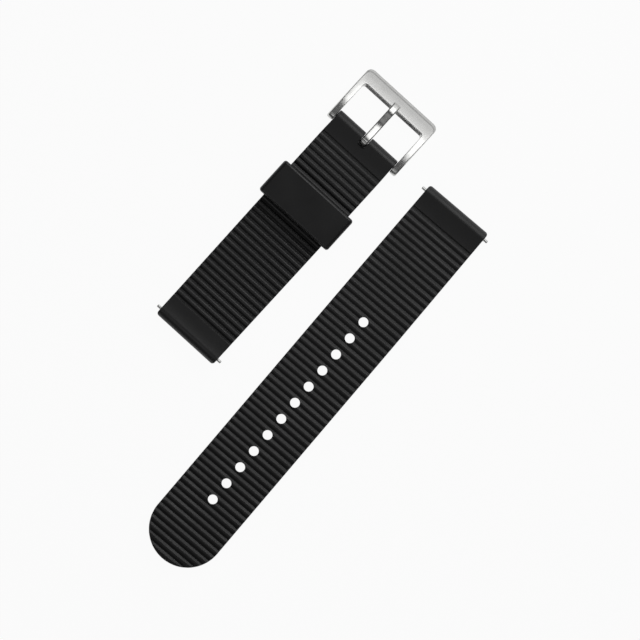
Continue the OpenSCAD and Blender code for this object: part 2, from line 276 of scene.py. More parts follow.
# %% Cutting
def cut(piece, tool, operation="DIFFERENCE"):
    """Cuts a piece with a tool, or keeps what the two share, and throws the tool away."""
    put_in_order(tool)
    put_in_order(piece)
    apply_modifier(piece, "BOOLEAN", operation=operation, solver="EXACT", object=tool)
    bpy.data.objects.remove(tool)
    put_in_order(piece)


def split(piece, normal, *places):
    """Draws a line round a piece where a plane through each place crosses it."""
    edit(piece)
    for place in places:
        bpy.ops.mesh.select_all(action="SELECT")
        bpy.ops.mesh.bisect(plane_co=place, plane_no=normal)
    done()


def rod(radius, length, place=(0, 0, 0), along="Y", sides=48):
    """A round bar along Y or Z, to cut with."""
    turns = {"Y": (math.pi / 2, 0, 0), "Z": (0, 0, 0)}
    bpy.ops.object.select_all(action="DESELECT")
    bpy.ops.mesh.primitive_cylinder_add(
        vertices=sides, radius=radius, depth=length, location=place, rotation=turns[along]
    )
    bar = bpy.context.object
    bpy.ops.object.transform_apply(location=True, rotation=True, scale=True)
    return bar


# %% [markdown]
# A bevel takes the edge off every rim. Without it a moulded piece looks like paper, because no real
# edge is sharp enough to show no highlight. Smooth shading then rounds what is left of the facets,
# and weighted normals keep the large flat faces flat. Last, a piece goes to its place in the frame.

# %% Finishing a mesh
flat_face_weight = 80


def soften(piece, width, test, segments=3):
    """Bevels the edges that pass a test, and returns how many there were."""
    put_in_order(piece)
    edit(piece)
    count = pick_edges(piece, test)
    bpy.ops.mesh.bevel(
        offset=width, segments=segments, affect="EDGES", clamp_overlap=False, profile=0.5
    )
    tidy_up()
    done()
    return count


def smooth(piece, angle=32):
    """Smooth shading that keeps creases sharper than an angle in degrees."""
    only(piece)
    bpy.ops.object.shade_smooth_by_angle(angle=math.radians(angle))
    apply_modifier(piece, "WEIGHTED_NORMAL", keep_sharp=True, weight=flat_face_weight)


def set_down(piece, place, turn=0.0, tilt=0.0):
    """Takes a piece from millimetres to its place, and leaves its object at the origin."""
    only(piece)
    piece.scale = (MM, MM, MM)
    piece.rotation_euler = (0, tilt, turn)
    piece.location = place
    bpy.ops.object.transform_apply(location=True, rotation=True, scale=True)
    triangles = sum(len(face.vertices) - 2 for face in piece.data.polygons)
    print(piece.name, "has", triangles, "triangles")


# %% [markdown]
# The two halves come out of the same kind of mould, and both have a row of round ribs. The ribs could
# be a bump in the material, but they are about half a millimetre deep and catch the light, so they
# are geometry. One rib is drawn, with a large round on its back, a small round in the groove on either
# side and straight flanks between them, and an Array modifier repeats it.

# %% One rib, and a row of them
strap_w = 22.0
rib_pitch = 2.0
rib_top = 3.2
rib_back_r = 0.85
groove_r = 0.1
back_steps, groove_steps = 8, 3
spare = 1.0
blank_w = strap_w + 2 * spare


def flank_lean(depth):
    """How far a rib's flanks lean, in degrees, so that they touch its two kinds of round."""
    rounds = rib_back_r + groove_r
    rise = rounds - depth
    run = rib_pitch / 2
    return math.degrees(math.asin(rounds / math.hypot(run, rise)) - math.atan2(rise, run))


def rib_row(start, count, low_z):
    """A strip of ribs right across the strap, from the middle of one groove to that of another."""
    lean = flank_lean(rib_top - low_z)
    rising = arc(0, low_z + groove_r, groove_r, 270, 270 + lean, groove_steps)
    back = arc(rib_pitch / 2, rib_top - rib_back_r, rib_back_r, 90 + lean, 90 - lean, back_steps)
    falling = arc(rib_pitch, low_z + groove_r, groove_r, 270 - lean, 270, groove_steps)
    row = draw_chain("rib_row", from_side(rising + back + falling))
    pull(row, (0, blank_w, 0))
    repeat(row, count, (rib_pitch, 0, 0))
    move(row, (start, -blank_w / 2, 0))
    print(count, "ribs,", round(rib_top - low_z, 2), "mm deep, with flanks at", round(lean, 1), "degrees")
    return row


# %% [markdown]
# A half starts with a full round at the lug end, the nose, and falls in a shallow hollow to a smooth
# pad. The hollow is the arc of a large circle that touches the round of the nose, so the light runs
# off the nose without a line. Both circles lean by the same angle where they meet, which gives the
# radius of the hollow.

# %% The end of a half, from the side
nose_r = 2.0
pad_len = 7.5
pad_h = 3.3
pad_edge_r = 0.2
groove_z = 2.75
nose_steps, hollow_steps, edge_steps = 26, 12, 4
first_rib_gap = 1.5
first_groove_x = pad_len + first_rib_gap - rib_pitch / 2 - nose_r


def pad_points(low_z):
    """From the lowest point of the nose, up round it and along the pad, with the lug bar at x = 0."""
    run = pad_len - nose_r
    rise = pad_h - nose_r
    hollow_r = (run ** 2 + rise ** 2 - nose_r ** 2) / (2 * (nose_r - rise))
    lean = math.degrees(math.asin(run / (nose_r + hollow_r)))
    nose = arc(0, nose_r, nose_r, 270, 90 - lean, nose_steps)
    hollow = arc(run, pad_h + hollow_r, hollow_r, -90 - lean, -90, hollow_steps)
    edge = arc(run - pad_edge_r, pad_h - pad_edge_r, pad_edge_r, 90, 0, edge_steps)
    return nose + hollow[1:-1] + edge + [(run, low_z)]


print("the first groove is", first_groove_x, "mm from the lug bar")

# %% [markdown]
# The side view, with the ribs joined on, is pulled out wider than the strap, and its two open sides are
# filled. What the plan view shares with that blank is the half: straight walls, a slight taper towards
# the lugs and rounded corners.

# %% The body of a half
lug_end_w = 21.6
lug_corner_r = 0.9
lug_corner_steps = 8
taper_len = 42.0


def is_open_at(side):
    """A test for the open edges on one side of the blank."""
    return lambda edge: edge.is_boundary and all(side * v.co.y > strap_w / 2 for v in edge.verts)


def half_body(name, outline, ribs, plan):
    """Joins the outline to the ribs, closes the sides and cuts the body to its plan."""
    body = draw_chain(name, from_side(outline))
    move(body, (0, -blank_w / 2, 0))
    pull(body, (0, blank_w, 0))
    ribs.select_set(True)
    bpy.ops.object.join()
    edit(body)
    bpy.ops.mesh.select_all(action="SELECT")
    bpy.ops.mesh.remove_doubles(threshold=merge_mm)
    for side in (-1, 1):
        pick_edges(body, is_open_at(side))
        bpy.ops.mesh.edge_face_add()
    tidy_up()
    done()
    cut(body, plan_block("plan", plan, -spare, 2 * nose_r + spare), "INTERSECT")
    split(body, (0, 0, 1), (0, 0, nose_r))
    split(body, (0, 1, 0), (0, 0, 0))
    return body


def both_sides(side):
    """A closed plan from the points of one side and their mirror images across X."""
    return side + [(x, -y) for x, y in reversed(side) if y > merge_mm]


def lug_end_side():
    """One side of the plan from the lug end to where the strap has its full width."""
    half_w = lug_end_w / 2
    middle = (lug_corner_r - nose_r, half_w - lug_corner_r)
    return arc(*middle, lug_corner_r, 180, 90, lug_corner_steps) + [(taper_len - nose_r, strap_w / 2)]


print("the lug ends are", lug_end_w, "mm wide, and the halves", strap_w, "mm")

# %% [markdown]
# Which edges of a half are rims? The ones where an upright wall meets a face that lies, or another
# face round a sharp corner. That test finds the outline, the edges of the holes and the ends of the
# bores, and leaves the ribs alone.

# %% Rims
rim_r = 0.16
most_z_of_wall = 0.02
least_z_of_lying = 0.3
corner_angle = math.radians(50)


def is_wall(face):
    """True for an upright face."""
    return abs(face.normal.z) < most_z_of_wall


def is_rim(edge):
    """True where a wall meets a face that lies, or any face round a sharp corner."""
    faces = edge.link_faces
    if len(faces) != 2 or not any(is_wall(face) for face in faces):
        return False
    lies = any(abs(face.normal.z) > least_z_of_lying for face in faces)
    return lies or faces[0].normal.angle(faces[1].normal) > corner_angle


# %% [markdown]
# The longer half is the simpler one. Its ribs run on to the very tip, which is a half circle as wide as
# the strap, and one bore takes the lug bar.

# %% The half with the holes
hole_half_len = 130.0
bar_bore_r = 0.95
tip_r = strap_w / 2
tip_steps = 40

tip_x = hole_half_len - nose_r
hole_ribs = round((tip_x - first_groove_x) / rib_pitch)
hole_outline = [(tip_x, groove_z), (tip_x, 0)] + pad_points(groove_z) + [(first_groove_x, groove_z)]
hole_side = lug_end_side() + arc(tip_x - tip_r, 0, tip_r, 90, 0, tip_steps)
hole_rib_row = rib_row(first_groove_x, hole_ribs, groove_z)
hole_strap = half_body("hole_strap_moulded", hole_outline, hole_rib_row, both_sides(hole_side))
cut(hole_strap, rod(bar_bore_r, blank_w, (0, 0, nose_r)))
print("rims softened on the hole half:", soften(hole_strap, rim_r, is_rim))

# %% [markdown]
# The holes are punched after moulding, so their edges stay crisper than the moulded rims. One round bar
# is repeated twelve times and cuts them all at once, and only then are their own rims softened.

# %% The holes
hole_d = 2.8
hole_pitch = 6.0
hole_count = 12
hole_to_tip = 22.0
hole_rim_r = 0.05

first_hole = hole_half_len - hole_to_tip - nose_r
last_hole = first_hole - (hole_count - 1) * hole_pitch
holes = rod(hole_d / 2, 3 * nose_r, (first_hole, 0, nose_r), along="Z")
repeat(holes, hole_count, (-hole_pitch, 0, 0))
cut(hole_strap, holes)


def is_by_holes(place):
    """True for a point in the strip that the holes are in."""
    return abs(place.y) < hole_d and last_hole - hole_d < place.x < first_hole + hole_d


def is_hole_rim(edge):
    """True on the rims of the holes."""
    return all(is_by_holes(v.co) for v in edge.verts) and is_rim(edge)


print("rims softened round the holes:", soften(hole_strap, hole_rim_r, is_hole_rim, segments=2))
smooth(hole_strap)
set_down(hole_strap, hole_lug_axis - Vector((0, 0, nose_r * MM)), turn=hole_half_turn)

# %% [markdown]
# The shorter half has a pad at both ends. Its grooves look darker than the other half's up to the
# keeper and the same beyond it, so they start deeper. Under the keeper, where nobody sees it, they rise
# little by little: every point of the ribs comes nearer to their top by the same share.

# %% The ribs of the buckle half
buckle_half_len = 78.0
deep_groove_z = 2.64
ease_from, ease_to = 42.0, 53.0

buckle_bar_x = buckle_half_len - 2 * nose_r
last_groove_x = buckle_bar_x - first_groove_x
buckle_ribs = round((last_groove_x - first_groove_x) / rib_pitch)
buckle_rib_row = rib_row(first_groove_x, buckle_ribs, deep_groove_z)


def ease_grooves(ribs):
    """Raises the grooves of a row, little by little, to the depth of the other half's."""
    shallow = (rib_top - groove_z) / (rib_top - deep_groove_z)
    for vertex in ribs.data.vertices:
        share = min(1.0, max(0.0, (vertex.co.x - ease_from) / (ease_to - ease_from)))
        vertex.co.z = rib_top - (rib_top - vertex.co.z) * (1 + (shallow - 1) * share)


ease_grooves(buckle_rib_row)
print("the grooves rise from", deep_groove_z, "to", groove_z, "mm over the ground")

# %% [markdown]
# The pad at the buckle is the mirror image of the one at the lugs. The plan narrows a little there, to
# let the arms of the frame swing past, and both ends get a bore.

# %% The body of the buckle half
buckle_end_w = 21.84
buckle_corner_r = 0.4
buckle_corner_steps = 5
narrow_from_bar = 2.4

far_pad = [(buckle_bar_x - x, z) for x, z in reversed(pad_points(groove_z))]
buckle_outline = (
    [(last_groove_x, groove_z)] + far_pad + pad_points(deep_groove_z) + [(first_groove_x, deep_groove_z)]
)
end_x = buckle_half_len - nose_r
half_end = buckle_end_w / 2
corner_middle = (end_x - buckle_corner_r, half_end - buckle_corner_r)
buckle_side = (
    lug_end_side()
    + [(last_groove_x, strap_w / 2), (buckle_bar_x - narrow_from_bar, half_end)]
    + arc(*corner_middle, buckle_corner_r, 90, 0, buckle_corner_steps)
)
buckle_strap = half_body("buckle_strap_moulded", buckle_outline, buckle_rib_row, both_sides(buckle_side))
for bar_x in (0, buckle_bar_x):
    cut(buckle_strap, rod(bar_bore_r, blank_w, (bar_x, 0, nose_r)))
print("the buckle's bar is", buckle_bar_x, "mm from the lug bar")

# %% [markdown]
# A slot in the buckle end lets the tongue's eye sit round the bar. Its closed end is round from above.
# From the side it slopes, and its foot is a seat that follows the eye, so that the eye can turn. The
# shape of the slot is made as a block, the slope is cut off it, and what is left cuts the strap.

# %% The slot for the tongue
slot_w = 2.4
slot_back = 2.45
slot_foot_gap = 0.12
slot_seat = 0.75
slot_steps = 10
tongue_eye_wall = 0.55
tongue_eye_r = bar_bore_r + tongue_eye_wall

slot_middle = buckle_bar_x + slot_w / 2 - slot_back
slot_side = [(end_x + spare, slot_w / 2)] + arc(slot_middle, 0, slot_w / 2, 90, 180, slot_steps)
slot = plan_block("slot", both_sides(slot_side), -spare, 2 * nose_r + spare)

seat_r = tongue_eye_r + slot_foot_gap
seat_start = 180 + math.degrees(math.acos(slot_seat / seat_r))
slope_points = (
    [(-slot_back - spare, -2 * spare), (-slot_seat, -2 * spare)]
    + arc(0, nose_r, seat_r, seat_start, 180, slot_steps)
    + [(-slot_back, 2 * nose_r), (-slot_back - spare, 2 * nose_r)]
)
cut(slot, side_block("slope", [(buckle_bar_x + x, z) for x, z in slope_points], 2 * slot_w))
split(slot, (0, 0, 1), (0, 0, nose_r))
cut(buckle_strap, slot)
print("rims softened on the buckle half:", soften(buckle_strap, rim_r, is_rim))
smooth(buckle_strap)
set_down(buckle_strap, buckle_lug_axis - Vector((0, 0, nose_r * MM)))

# %% [markdown]
# The keeper is a short square tube of the same rubber. A cube is enough to start from: its four long
# edges are bevelled round, and then the rims of its two ends, which makes its lips.

# %% The outside of the keeper
keeper_edge_r = 1.2
keeper_lip_r = 0.8
keeper_reach = 0.3
least_x_of_end = 0.9
edge_round_steps, lip_steps = 8, 6

keeper_low, keeper_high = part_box("keeper")
keeper_size = (keeper_high - keeper_low) / MM + Vector((keeper_reach, 0, 0))


def run_along_x(edge):
    """How far an edge runs along X."""
    return abs(edge.verts[0].co.x - edge.verts[1].co.x)


def rounded_block(name, size, middle, radius):
    """A block along X whose four long edges are round."""
    bpy.ops.object.select_all(action="DESELECT")
    bpy.ops.mesh.primitive_cube_add(size=1, location=middle, scale=size)
    block = bpy.context.object
    block.name = name
    bpy.ops.object.transform_apply(location=True, rotation=True, scale=True)
    soften(block, radius, lambda edge: run_along_x(edge) > size[0] / 2, segments=edge_round_steps)
    return block


def is_lip(edge):
    """True where an end of the block meets its outside."""
    ends = [abs(face.normal.x) > least_x_of_end for face in edge.link_faces]
    return any(ends) and not all(ends)


keeper = rounded_block(
    "keeper_moulded", keeper_size, (keeper_reach / 2, 0, keeper_size.z / 2), keeper_edge_r
)
print("edges rounded to lips:", soften(keeper, keeper_lip_r, is_lip, segments=lip_steps))

# %% [markdown]
# A smaller block of the same kind hollows the keeper out, with a thinner wall under the strap than over
# it. The edges of both mouths are bevelled last, because a strap has to slip in without catching.

# %% The hollow of the keeper
keeper_len = 11.0
keeper_floor = 1.3
keeper_roof = 1.5
keeper_side = 1.7
keeper_inner_edge_r = 0.5
keeper_mouth_r = 0.45
mouth_steps = 4
touch = 0.01

hollow_size = (
    keeper_size.x + 2 * spare,
    keeper_size.y - 2 * keeper_side,
    keeper_size.z - keeper_floor - keeper_roof,
)
hollow_middle = (keeper_reach / 2, 0, keeper_floor + hollow_size[2] / 2)
split(keeper, (0, 1, 0), (0, 0, 0))
cut(keeper, rounded_block("hollow", hollow_size, hollow_middle, keeper_inner_edge_r))


def is_at_mouth(place):
    """True for a point of the hollow at one of its two ends."""
    return (
        abs(place.x) > keeper_len / 2 - touch
        and abs(place.y) < hollow_size[1] / 2 + touch
        and abs(place.z - hollow_middle[2]) < hollow_size[2] / 2 + touch
    )


def is_mouth_edge(edge):
    """True on the edges round the two mouths, and not on those that run from one to the other."""
    return run_along_x(edge) < touch and all(is_at_mouth(v.co) for v in edge.verts)


mouth_edges = soften(keeper, keeper_mouth_r, is_mouth_edge, segments=mouth_steps)
print("edges rounded at the keeper's mouths:", mouth_edges)
smooth(keeper)
keeper_middle = (keeper_low + keeper_high) / 2
set_down(keeper, (keeper_middle.x, keeper_middle.y, keeper_low.z))

# %% [markdown]
# The buckle's frame is forged from a bar of steel and then bent to a U. It is modelled the same way: a
# straight bar is drawn with the section of an arm, and a formula then lays it out along the frame. One
# piece of bar gives edges that run round the whole frame without a break, which a plate with a window
# would not. First its heights: the upper face is a long arch that runs straight off the eyes round the
# bar, and there is a hollow under it. The frame is tilted by what it takes to rest its foot on the
# ground.

# %% The frame from the side
frame_t = 1.9
frame_eye_r = 1.95
arch_r = 28.8
arch_top = 1.4
belly_r = 17.0
belly_top = 5.5
foot_reach = 15.7
floor_gap = 0.02
arch_z = math.sqrt((arch_r - frame_eye_r) ** 2 - arch_top ** 2)


def frame_top_z(x):
    """Height of the frame's upper face over the bar's axis, at a distance from it."""
    if x < 0:
        return math.sqrt(frame_eye_r ** 2 - x ** 2)
    return math.sqrt(arch_r ** 2 - (x - arch_top) ** 2) - arch_z


belly_z = belly_r + frame_t - frame_top_z(belly_top)


def frame_low_z(x):
    """Height of the hollow underneath, or of the eye where that is lower."""
    hollow = math.sqrt(belly_r ** 2 - (x - belly_top) ** 2) - belly_z
    eye = -math.sqrt(max(0.0, frame_eye_r ** 2 - x ** 2))
    return min(hollow, eye) if x > 0 else eye


foot_z = frame_low_z(foot_reach)
drop = buckle_axis.z / MM - floor_gap
frame_lay = math.asin(drop / math.hypot(foot_reach, foot_z)) - math.atan2(-foot_z, foot_reach)
print("the frame lies down by", round(math.degrees(frame_lay), 2), "degrees")

# %% [markdown]
# From above the frame has four edges that matter: the inner and the outer one, each at the top and
# lower down. All four are laid out with the same number of points, one for each station of the bar:
# round the eye, along the arm, round the corner and along the outer bar, and back on the other side.

# %% The frame from above
arm_w = 2.0
frame_reach = 17.0
window_reach = 12.4
window_slope = 0.9
frame_corner_r = 1.9
window_corner_r = 0.9
eye_corner_r = 0.55
eye_tip_angle = 6
eye_steps, arm_steps, corner_steps, bar_steps = 12, 18, 9, 4
frame_inner = strap_w / 2
frame_outer = frame_inner + arm_w


def edge_path(y, reach, corner_r, pinch):
    """One edge of the frame from above. Pinch is 1 or -1, the way the eye's round corner pulls it."""
    half = []
    for i in range(eye_steps):
        angle = math.radians(eye_tip_angle + (90 - eye_tip_angle) * i / eye_steps)
        x = -frame_eye_r * math.cos(angle)
        over = max(0.0, eye_corner_r - frame_eye_r - x)
        half.append((x, y + pinch * (eye_corner_r - math.sqrt(eye_corner_r ** 2 - over ** 2))))
    straight = reach - corner_r
    half += [(straight * i / arm_steps, y) for i in range(arm_steps)]
    half += arc(straight, y - corner_r, corner_r, 90, 0, corner_steps)[:-1]
    half += [(reach, (y - corner_r) * (1 - i / bar_steps)) for i in range(bar_steps)]
    return half + [(reach, 0.0)] + [(x, -y) for x, y in reversed(half)]


inner_top = edge_path(frame_inner, window_reach, window_corner_r, 1)
inner_low = edge_path(frame_inner, window_reach - window_slope, window_corner_r, 1)
outer_top = edge_path(frame_outer, frame_reach, frame_corner_r, -1)
outer_low = edge_path(frame_outer, foot_reach, frame_corner_r, -1)
stations = len(inner_top)
print("the frame is laid out along", stations, "stations")

# %% [markdown]
# Now the straight bar. In its section Y runs from the window to the outside of an arm, and Z is the
# height. Its outer upper edge is a sloping rim, the other edges are bevelled while they are still
# straight, which is easy, and the bar is split across into its stations, one millimetre apart.

# %% The straight bar
bar_t = 2.0
rim_at_side = 0.3
rim_drop = 0.35
rim_y = arm_w - rim_at_side
plain_w = 0.7
top_points = (0.0, 0.35, plain_w, 1.0, 1.3, rim_y)
inner_wall_z = 0.4
window_edge_r = 0.2
frame_edge_r = 0.1

section = [(y, bar_t) for y in top_points]
section += [(arm_w, bar_t - rim_drop), (arm_w, 0.0), (0.0, 0.0), (0.0, inner_wall_z)]
buckle_frame = draw_chain("buckle_frame_forged", [(0.0, y, z) for y, z in section + section[:1]])
fill_and_pull(buckle_frame, (0, 0, 0), (stations - 1, 0, 0))


def runs_along(y, z):
    """A test for the edges that run along the bar at one place of its section."""
    return lambda edge: all(
        abs(v.co.y - y) < merge_mm and abs(v.co.z - z) < merge_mm for v in edge.verts
    )


soften(buckle_frame, window_edge_r, runs_along(0.0, bar_t), segments=4)
for place in ((rim_y, bar_t), (arm_w, bar_t - rim_drop), (arm_w, 0.0), (0.0, 0.0)):
    soften(buckle_frame, frame_edge_r, runs_along(*place), segments=3)
split(buckle_frame, (1, 0, 0), *[(i, 0, 0) for i in range(1, stations - 1)])
print("the straight bar has", len(buckle_frame.data.vertices), "points")

# %% [markdown]
# A bend modifier could bend a bar once, but this one turns two corners, gets wider and thinner on the
# way and follows an arch. So each point is laid by rule: its station says where along the frame it is,
# Y how far across, and Z how deep under the upper face. The first rule keeps the rim as wide as it
# should be while the middle of the section stretches.

# %% Across the frame and down into it
rim_at_end = 1.0
rim_end_drop = 0.5
full_section_t = 1.2
low_zone, top_zone = 0.15, 1.4


def mix(a, b, share):
    """The value that lies a share of the way from one to the other."""
    return a + (b - a) * share


def between(inner, outer, y, rim):
    """The point between two edges for a place across the bar's section."""
    width = math.dist(inner, outer)
    if y > rim_y:
        run = width - (arm_w - y) * rim / rim_at_side
    elif y > plain_w:
        run = mix(plain_w, width - rim, (y - plain_w) / (rim_y - plain_w))
    else:
        run = y
    share = run / width
    return mix(inner[0], outer[0], share), mix(inner[1], outer[1], share)


def depth_under_top(y, z, full, end_share):
    """How deep a point of the section lies, where the frame is so thick in full."""
    fit = min(1.0, full / full_section_t)
    if z > top_zone:
        past_rim = max(0.0, y - rim_y) / rim_at_side
        return (bar_t - z) * fit + (rim_end_drop - rim_drop) * end_share * past_rim
    if z < low_zone:
        return full - z * fit
    share = (z - low_zone) / (top_zone - low_zone)
    return mix(full - low_zone * fit, (bar_t - top_zone) * fit, share)


# %% [markdown]
# The second rule lays a point. The upper and the lower edges of the frame aren't over each other: the
# window's wall slopes, and the foot stands back from the outer end. So a point slides from the upper
# pair of edges to the lower pair as it goes deeper. A slight crown on the arms catches the light.

# %% Bending the bar into the frame
crown = 0.07
bar_from = 12.0
pivot_r = 0.45
running_gap = 0.05
eye_hole_depth = 1.3


def lay_vertex(vertex):
    """Moves one vertex of the straight bar to its place in the frame."""
    i, y, z = round(vertex.co.x), vertex.co.y, vertex.co.z
    bar_share = max(0.0, min(1.0, (outer_top[i][0] - bar_from) / (frame_reach - bar_from)))
    end_share = bar_share ** 2
    pinch = min(1.0, math.dist(inner_top[i], outer_top[i]) / arm_w)
    rim = mix(rim_at_side, rim_at_end, end_share) * pinch
    above = between(inner_top[i], outer_top[i], y, rim)
    below = between(inner_low[i], outer_low[i], y, rim)
    top_z = frame_top_z(above[0])
    full = top_z - frame_low_z(below[0])
    depth = depth_under_top(y, z, full, end_share)
    outside = max(0.0, depth - rim_drop) / (full - rim_drop) if full > 2 * rim_drop else 0.0
    slide = mix(min(1.0, depth / window_slope), outside, y / arm_w)
    x, side_y = mix(above[0], below[0], slide), mix(above[1], below[1], slide)
    if z > bar_t / 2:
        depth += crown * (1 - bar_share) * (y - arm_w / 2) ** 2
    vertex.co = (x, side_y, top_z - depth)


for vertex in buckle_frame.data.vertices:
    lay_vertex(vertex)
edit(buckle_frame)
tidy_up()
done()
cut(buckle_frame, rod(pivot_r + running_gap, strap_w + 2 * eye_hole_depth))
smooth(buckle_frame, angle=30)
set_down(buckle_frame, buckle_axis, tilt=frame_lay)

# %% [markdown]
# The tongue is a flat steel strip. One end is curled round the spring bar, and from there it dips,
# rises and rests on the frame. Its back is a smooth curve in three parts, and the belly follows it at
# the thickness of the strip, up to where it runs into the eye.

# %% The tongue from the side
tongue_t = 1.0
tongue_reach = 14.0
tongue_root_x = 0.3
tongue_dip_x, tongue_dip_z = 6.6, 0.45
tongue_crest_x = window_reach - 1.7
tongue_crest_rise = 0.45
tongue_rest_gap = 0.1
tip_fall_power = 1.9
tongue_steps = 36


def ease(share):
    """A share of the way that starts and ends slowly."""
    return (1 - math.cos(math.pi * share)) / 2


tongue_crest_z = frame_top_z(window_reach) + tongue_rest_gap + tongue_t + tongue_crest_rise
tongue_tip_z = frame_top_z(tongue_reach) + tongue_rest_gap + tongue_t


def tongue_back(x):
    """Height of the tongue's back at a distance from the bar's axis."""
    if x < tongue_dip_x:
        share = (x - tongue_root_x) / (tongue_dip_x - tongue_root_x)
        return tongue_eye_r + (tongue_dip_z - tongue_eye_r) * ease(share)
    if x < tongue_crest_x:
        share = (x - tongue_dip_x) / (tongue_crest_x - tongue_dip_x)
        return tongue_dip_z + (tongue_crest_z - tongue_dip_z) * ease(share)
    share = (x - tongue_crest_x) / (tongue_reach - tongue_crest_x)
    return tongue_crest_z + (tongue_tip_z - tongue_crest_z) * share ** tip_fall_power


along = [tongue_reach * i / tongue_steps for i in range(1, tongue_steps)]
back = [(x, tongue_back(x)) for x in along if x > tongue_root_x]
belly = [(x, tongue_back(x) - tongue_t) for x in reversed(along)]
belly = [(x, z) for x, z in belly if math.hypot(x, z) > tongue_eye_r]
print("the tongue's back dips to", tongue_dip_z, "and rises to", round(tongue_crest_z, 2), "mm")

# %% [markdown]
# The outline is closed with a rounded tip and the round of the eye, and pulled across to the width of
# the tongue. Then its long edges are rolled well round.

# %% The body of the tongue
tongue_w = 2.2
tongue_edge_r = 0.28
tip_top_r, tip_low_r = 0.3, 0.15
tip_turn = 75
eye_overlap = 4
eye_points = 48
least_y_of_side = 0.9

tip_end = (
    arc(tongue_reach - tip_top_r, tongue_tip_z - tip_top_r, tip_top_r, tip_turn, 0, 4)
    + arc(tongue_reach - tip_low_r, tongue_tip_z - tongue_t + tip_low_r, tip_low_r, 0, -tip_turn, 3)
)
eye_start = math.degrees(math.atan2(belly[-1][1], belly[-1][0])) - eye_overlap
eye_end = math.degrees(math.acos(tongue_root_x / tongue_eye_r)) - 360
eye = arc(0, 0, tongue_eye_r, eye_start, eye_end, eye_points)
tongue = side_block("buckle_tongue_bent", back + tip_end + belly + eye, tongue_w)


def is_side_edge(edge):
    """True where one of the two flat sides meets anything else."""
    sides = [abs(face.normal.y) > least_y_of_side for face in edge.link_faces]
    return len(sides) == 2 and sides[0] != sides[1]


print("edges rolled on the tongue:", soften(tongue, tongue_edge_r, is_side_edge, segments=4))

# %% [markdown]
# A rolled strip isn't quite flat across. Lines are drawn along the tongue, and its points sink a little
# towards both sides, or towards the bar where they are on the eye. A bore and a fine notch finish it:
# the notch is the seam where the curled end meets the strip.

# %% The crown, the bore and the seam
tongue_crown = 0.08
crown_lines = (-0.75, -0.5, -0.25, 0.0, 0.25, 0.5, 0.75)
on_eye = 0.05
seam_depth, seam_half = 0.22, 0.22
tongue_bore_sides = 64

split(tongue, (0, 1, 0), *[(0, y, 0) for y in crown_lines])
for vertex in tongue.data.vertices:
    sink = tongue_crown * (vertex.co.y / (tongue_w / 2)) ** 2
    from_axis = math.hypot(vertex.co.x, vertex.co.z)
    if from_axis < tongue_eye_r + on_eye:
        vertex.co.x *= 1 - sink / from_axis
        vertex.co.z *= 1 - sink / from_axis
    else:
        vertex.co.z -= sink
cut(tongue, rod(bar_bore_r, tongue_w + 2 * spare, sides=tongue_bore_sides))
seam_outline = [
    (tongue_root_x - seam_half, tongue_eye_r + spare),
    (tongue_root_x, tongue_eye_r - seam_depth),
    (tongue_root_x + seam_half, tongue_eye_r + spare),
]
cut(tongue, side_block("seam", seam_outline, 2 * tongue_w))
smooth(tongue, angle=35)
set_down(tongue, buckle_axis, tilt=frame_lay)

# %% [markdown]
# A spring bar's tips are turned on a lathe, so a profile is spun round the bar's axis. The pivot that
# goes into the watch is a little under half a millimetre in radius and ends in a small round. Behind it
# come a flange and, inside the tube, the head that the coil spring pushes on.

# %% One tip of a spring bar
pivot_reach = 1.1
pivot_round_r = 0.2
flange_r = 0.7
flange_len = 0.6
flange_inset = 0.1
tip_travel = 1.1
tube_gap, tube_lip_len, head_gap = 0.1, 0.3, 0.05
head_len = 4.2
head_r = 0.58
chamfer = 0.06
spin_steps = 32

pivot_end = strap_w / 2 + pivot_reach
flange_out = strap_w / 2 - flange_inset
flange_in = flange_out - flange_len
head_end = flange_in - tip_travel - tube_gap - tube_lip_len - head_gap
head_start = head_end - head_len
tip_profile = (
    [(0.0, head_start), (head_r - chamfer, head_start), (head_r, head_start + chamfer)]
    + [(head_r, head_end - chamfer), (head_r - chamfer, head_end), (pivot_r, head_end)]
    + [(pivot_r, flange_in), (flange_r - chamfer, flange_in), (flange_r, flange_in + chamfer)]
    + [(flange_r, flange_out - chamfer), (flange_r - chamfer, flange_out), (pivot_r, flange_out)]
    + arc(pivot_r - pivot_round_r, pivot_end - pivot_round_r, pivot_round_r, 0, 90, 4)
    + [(0.0, pivot_end)]
)
spun_tip = draw_chain("spun_tip", [(r, y, 0.0) for r, y in tip_profile])
edit(spun_tip)
bpy.ops.mesh.select_all(action="SELECT")
bpy.ops.mesh.spin(steps=spin_steps, angle=2 * math.pi, center=(0, 0, 0), axis=(0, 1, 0))
tidy_up()
done()
smooth(spun_tip, angle=40)
print("a tip is", round(pivot_end - head_start, 2), "mm long from its head to its pivot")

# %% [markdown]
# The six tips are alike. One is spun, and each copy gets a mesh of its own, so that it can be turned to
# its side of the bar and set down. Each rides on the body of its own plunger.

# %% All six tips
bars = {
    "buckle_bar": (buckle_axis, 0.0),
    "buckle_lug_bar": (buckle_lug_axis, 0.0),
    "hole_lug_bar": (hole_lug_axis, hole_half_turn + math.pi),
}
tips = []
for bar, (axis, turn) in bars.items():
    for side, half_turn in (("left", 0.0), ("right", math.pi)):
        tip = spun_tip.copy()
        tip.data = spun_tip.data.copy()
        tip.name = f"{bar}_tip_{side}_turned"
        bpy.context.collection.objects.link(tip)
        set_down(tip, axis, turn=turn + half_turn)
        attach(tip, f"{bar}_{side}")
        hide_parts(f"{bar}_tip_{side}")
        tips.append(tip)
bpy.data.objects.remove(spun_tip)

# %% [markdown]
# Now the finishes. Colours are written as on a screen, in hex, and Blender calculates in linear light,
# so one function turns the one into the other. A second small function adds a node with its settings
# and links. Patterns read Object coordinates, so their sizes are real sizes on the piece.

# %% Colours and nodes
noise_low, noise_high = 0.3, 0.7


